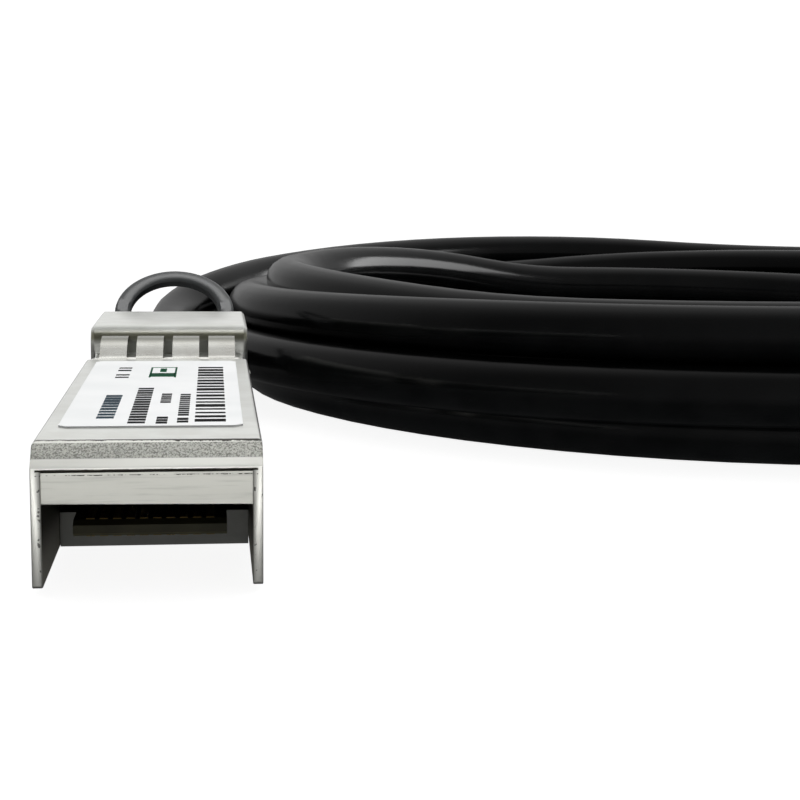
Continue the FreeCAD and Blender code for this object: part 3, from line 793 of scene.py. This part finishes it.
# Shells with their sharp edges broken, collar with its fingers arched, and tab, all shaded smooth, each from
# the frame's own mesh
edgeSet = {
    # in mm from a plug's middle, its mouth and the floor
    "footTop": 0.51,  # of a skirt
    "footIn": 6.0,
    "footEnd": 40.0,
    "grooveDepth": 0.45,  # under the chamfer, with edges that stay sharp
    "grooveLow": 7.25,
    "grooveHigh": 7.5,
    "noseDepth": 1.5,
    "noseIn": 6.05,
    "noseLow": 5.5,
    "blockFront": 47.4,
    "blockIn": 6.4,
    "browLow": 10.6,
    "merge": 0.001,
    "flatAngle": 0.5,  # degrees
    "brokenAngle": 30,
    "creaseAngle": 36,
    "segments": 2,
    "profile": 0.5,
}


def skirtFoot(spot, s):
    return spot.z < s["footTop"] and abs(spot.x) > s["footIn"] and spot.y < s["footEnd"]


def noseAndBlock(spot, s):
    groove = spot.y < s["grooveDepth"] and s["grooveLow"] < spot.z < s["grooveHigh"]
    offMouth = abs(spot.x) > s["noseIn"] or spot.z > s["grooveHigh"] or spot.z < s["noseLow"]
    nose = spot.y < s["noseDepth"] and offMouth
    block = spot.y > s["blockFront"] and (abs(spot.x) > s["blockIn"] or spot.z > s["browLow"])
    return (nose or block) and not groove


def blockFoot(spot, s):
    return spot.y > s["blockFront"] and abs(spot.x) > s["blockIn"]


softSet = {
    # which edges are broken, and how wide in mm
    "top_shell": {
        "body": "root", "slot": "nickel_shell", "breaks": [(skirtFoot, 0.16), (noseAndBlock, 0.07)],
    },
    "bottom_shell": {"body": "root", "slot": "nickel_shell", "breaks": [(blockFoot, 0.07)]},
    "spring_collar": {
        "body": "root", "slot": "spring_sheet", "breaks": [],
        # the top fingers' arch, in mm: they rise over a span from a depth, above a height and near the middle
        "lift": {"rise": 0.55, "from": 41.4, "span": 4.1, "above": 8.9, "half": 6.0},
    },
    "pull_tab": {"body": "slider", "slot": "tab_plastic", "breaks": []},
}


def liftFingers(shape, shift, lift):
    for vert in shape.verts:
        if vert.co.z > lift["above"] * mm and abs(vert.co.x - shift.x) < lift["half"] * mm:
            share = min(1.0, max(0.0, (vert.co.y / mm - lift["from"]) / lift["span"]))
            vert.co.z += lift["rise"] * mm * math.sin(math.pi / 2 * share)


def softened(end, kind, s, edges):
    name = end + "_" + kind
    shape = bmesh.new()
    shape.from_mesh(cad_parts[name].data)
    bmesh.ops.remove_doubles(shape, verts=shape.verts, dist=edges["merge"] * mm)
    if "lift" in s:
        liftFingers(shape, plugShift[end], s["lift"])
    flat = math.radians(edges["flatAngle"])
    bmesh.ops.dissolve_limit(shape, angle_limit=flat, verts=shape.verts, edges=shape.edges)
    for test, width in s["breaks"]:
        steep = math.radians(edges["brokenAngle"])
        sharp = [edge for edge in shape.edges if len(edge.link_faces) == 2 and edge.calc_face_angle() > steep]
        chosen = [edge for edge in sharp
                  if all(test((vert.co - plugShift[end]) / mm, edges) for vert in edge.verts)]
        bmesh.ops.bevel(shape, geom=chosen, offset=width * mm, offset_type="OFFSET", affect="EDGES",
                        segments=edges["segments"], profile=edges["profile"], clamp_overlap=True)
        print(name, len(chosen), "edges broken")
    bmesh.ops.triangulate(shape, faces=[face for face in shape.faces if len(face.verts) > 4])
    mesh = bpy.data.meshes.new(end + "".join(word.capitalize() for word in kind.split("_")))
    shape.to_mesh(mesh)
    shape.free()
    mesh.polygons.foreach_set("use_smooth", [True] * len(mesh.polygons))
    mesh.set_sharp_from_angle(angle=math.radians(edges["creaseAngle"]))
    mesh.materials.append(finishOf[kind])
    piece = place(mesh.name, mesh)
    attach(piece, "root" if s["body"] == "root" else end + "_" + s["body"])
    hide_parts(name)
    return piece


shells = [softened(end, kind, s, edgeSet) for end in plugShift for kind, s in softSet.items()]


# Floor, backdrop, surroundings and lights
stageSet = {
    "floor": 9.0,  # half its side
    "wall": 6.0,  # height of the backdrop round the floor
    "wallSides": 64,
    "white": rgb(0.95, 0.95, 0.95),
    "rough": 0.9,
    "glow": 0.95,
    "behind": 0.35,  # brightness of the surroundings behind the coil
    "before": 0.12,  # and behind the camera
    "leftSide": 0.65,  # share of it at the left
    "below": 0.08,
    "nadir": 0.02,
    # parts of a direction along Y, X and Z over which one brightness turns into the next
    "behindSpan": (-0.4, 0.45),
    "leftSpan": (-0.7, -0.1),
    "nadirSpan": (-0.55, -0.12),
    "horizonSpan": (-0.12, 0.0),
}


def makeStage(s):
    paper = Paint("paperSweep")
    paper.finish(Base_Color=s["white"], Roughness=s["rough"], Emission_Color=s["white"],
                 Emission_Strength=s["glow"])
    half = s["floor"]
    mesh = bpy.data.meshes.new("floor")
    corners = [(-half, -half, 0), (half, -half, 0), (half, half, 0), (-half, half, 0)]
    mesh.from_pydata(corners, [], [(0, 1, 2, 3)])
    floor = place("floor", mesh)
    ring = bmesh.new()
    bmesh.ops.create_cone(ring, segments=s["wallSides"], radius1=half, radius2=half, depth=s["wall"],
                          matrix=Matrix.Translation((0, 0, s["wall"] / 2)))
    bmesh.ops.reverse_faces(ring, faces=ring.faces)
    mesh = bpy.data.meshes.new("backdrop")
    ring.to_mesh(mesh)
    ring.free()
    backdrop = place("backdrop", mesh)
    backdrop.visible_diffuse = False
    for sheet in (floor, backdrop):
        sheet.data.materials.append(paper.material)
        sheet.visible_glossy = False
    world = bpy.data.worlds.new("studio")
    world.use_nodes = True
    sky = Graph(world.node_tree)
    x, y, z = sky.axes(sky.node("ShaderNodeTexCoord"))
    upper = sky.between(y, *s["behindSpan"], s["before"], s["behind"])
    upper = upper * sky.between(x, *s["leftSpan"], s["leftSide"], 1.0)
    lower = sky.between(z, *s["nadirSpan"], s["nadir"], s["below"])
    level = upper + sky.between(z, *s["horizonSpan"], 1.0, 0.0) * (lower - upper)
    background = sky.tree.nodes["Background"]
    background.inputs["Color"].default_value = rgb(1, 1, 1)
    sky.feed(background.inputs["Strength"], level)
    scene.world = world
    print("stage", s["floor"], "m")


makeStage(stageSet)

metal = [piece for piece in shells if "Tab" not in piece.name]
topShells = [piece for piece in metal if "Top" in piece.name]
tabs = [piece for piece in shells if "Tab" in piece.name]
labels = [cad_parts[end + "_label"] for end in plugShift]
lightSet = {
    # where it stands, what it faces, its width and height, its watts and the pieces that it lights
    "overhead": ((0.06, -0.02, 0.42), (0.05, 0.06, 0.0), (0.4, 0.05), 0.32, metal),
    "ceiling": ((0.06, 0.05, 0.5), (0.06, 0.05, 0.0), (1.2, 1.0), 0.75, metal),
    "backPanel": ((0.0, 0.5, 0.25), (0.0, 0.05, 0.01), (0.6, 0.5), 0.7, shells),
    "leftPanel": ((-0.5, 0.05, 0.2), (0.0, 0.05, 0.006), (1.2, 0.4), 0.9, metal),
    "rightPanel": ((0.65, 0.05, 0.2), (0.13, 0.05, 0.006), (1.2, 0.4), 0.9, metal),
    "frontPanel": ((0.06, -0.6, 0.3), (0.06, 0.05, 0.01), (1.4, 0.35), 0.36, metal),
    "labelFill": ((0.06, 0.03, 0.4), (0.06, 0.02, 0.0), (0.4, 0.3), 1.8, labels + tabs),
    "noseFill": ((0.0, -0.035, 0.0038), (0.0, 0.0, 0.0042), (0.06, 0.006), 0.0074, topShells),
    "sideLamp": ((0.52, 0.13, 0.16), (0.03, 0.143, 0.0126), (0.5, 0.3), 1.9, [cable]),
}


def makeLight(name, at, aim, size, power, pieces):
    data = bpy.data.lights.new(name, "AREA")
    data.shape = "RECTANGLE"
    data.size, data.size_y = size
    data.energy = power
    lamp = place(name, data)
    lamp.location = at
    lamp.rotation_euler = (Vector(aim) - Vector(at)).to_track_quat("-Z", "Y").to_euler()
    lamp.visible_camera = False
    lit = bpy.data.collections.new(name + "Lit")
    for piece in pieces:
        lit.objects.link(piece)
    lamp.light_linking.receiver_collection = lit
    print("light", name)


for name, row in lightSet.items():
    makeLight(name, *row)
